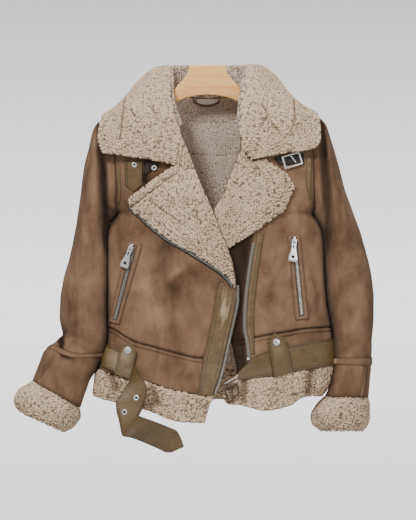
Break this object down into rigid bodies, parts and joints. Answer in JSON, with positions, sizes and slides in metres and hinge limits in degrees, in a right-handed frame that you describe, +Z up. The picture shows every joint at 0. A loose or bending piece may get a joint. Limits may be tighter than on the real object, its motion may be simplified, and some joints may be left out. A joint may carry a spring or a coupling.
{
  "type": "sherpa lined jacket on a hanger",
  "caption": "Biker style jacket of bonded suede and fleece with a wide collar, belt, zips and leather straps, hanging open at the neck on a wooden hanger.",
  "frame": {"origin": "middle of the top of the hanger's crown", "axes": "+Z up, the front faces -Y, +X towards the wearer's left"},
  "size_m": [0.6493, 0.1764, 0.6997],
  "materials": {
    "suede": "brushed nap, matt",
    "leather": "smooth, soft sheen",
    "strap": "smooth, satin",
    "fleece": "curly pile",
    "metal": "polished",
    "wood": "clear lacquer",
    "label": "woven, blank"
  },
  "bodies": {
    "jacket": {"front_right": "suede", "hem_panel_right": "suede", "hem_fleece_right": "fleece", "front_left": "suede", "hem_panel_left": "suede", "hem_fleece_left": "fleece", "back": "suede", "hem_panel_back": "suede", "hem_fleece_back": "fleece", "sleeve_right": "suede", "cuff_right": "fleece", "sleeve_left": "suede", "cuff_left": "fleece", "sleeve_band_right": "leather", "sleeve_band_left": "leather", "lapel_right": "fleece", "lapel_left": "fleece", "collar": "fleece", "collar_stand": "fleece", "placket_right": "leather", "placket_left": "leather", "armhole_tape_right": "leather", "armhole_tape_left": "leather", "zip_lapel": "metal", "zip_right": "metal", "zip_left": "metal", "zip_end": "metal", "pocket_welt_right": "leather", "pocket_zip_right": "metal", "pocket_slider_right": "metal", "pocket_welt_left": "leather", "pocket_zip_left": "metal", "pocket_slider_left": "metal", "belt_right": "strap", "belt_left": "strap", "belt_back": "strap", "belt_loop_right": "strap", "rivet_right": "metal", "belt_loop_left": "strap", "rivet_left": "metal", "belt_tail": "strap", "belt_lead": "strap", "belt_buckle": "leather", "throat_tab": "strap", "throat_strap_right": "leather", "throat_strap_left": "leather", "throat_buckle": "metal", "eyelet_tab": "metal", "eyelet_strap": "metal", "hanger": "wood", "neck_label": "label", "hanging_loop": "leather"},
    "pocket_pull_right": {"pocket_pull_right": "metal"},
    "pocket_pull_left": {"pocket_pull_left": "metal"},
    "throat_prong": {"throat_prong": "metal"},
    "belt_prong": {"belt_prong": "metal"}
  },
  "joints": [
    {"name": "pocket_pull_lift_right_hinge", "type": "hinge", "parent": "jacket", "child": "pocket_pull_right", "pos_m": [-0.13745, -0.05688, -0.32897], "axis": [-0.886, 0.3012, 0.3527], "range_deg": [0, 110]},
    {"name": "pocket_pull_lift_left_hinge", "type": "hinge", "parent": "jacket", "child": "pocket_pull_left", "pos_m": [0.15636, -0.05957, -0.31597], "axis": [-0.9746, -0.197, 0.1063], "range_deg": [0, 110]},
    {"name": "throat_prong_hinge", "type": "hinge", "parent": "jacket", "child": "throat_prong", "pos_m": [0.15086, -0.05876, -0.16647], "axis": [-0.794, -0.0951, -0.6004], "range_deg": [0, 70]},
    {"name": "belt_prong_hinge", "type": "hinge", "parent": "jacket", "child": "belt_prong", "pos_m": [0.05347, -0.06469, -0.56247], "axis": [-0.4766, 0.147, 0.8667], "range_deg": [0, 80]}
  ]
}
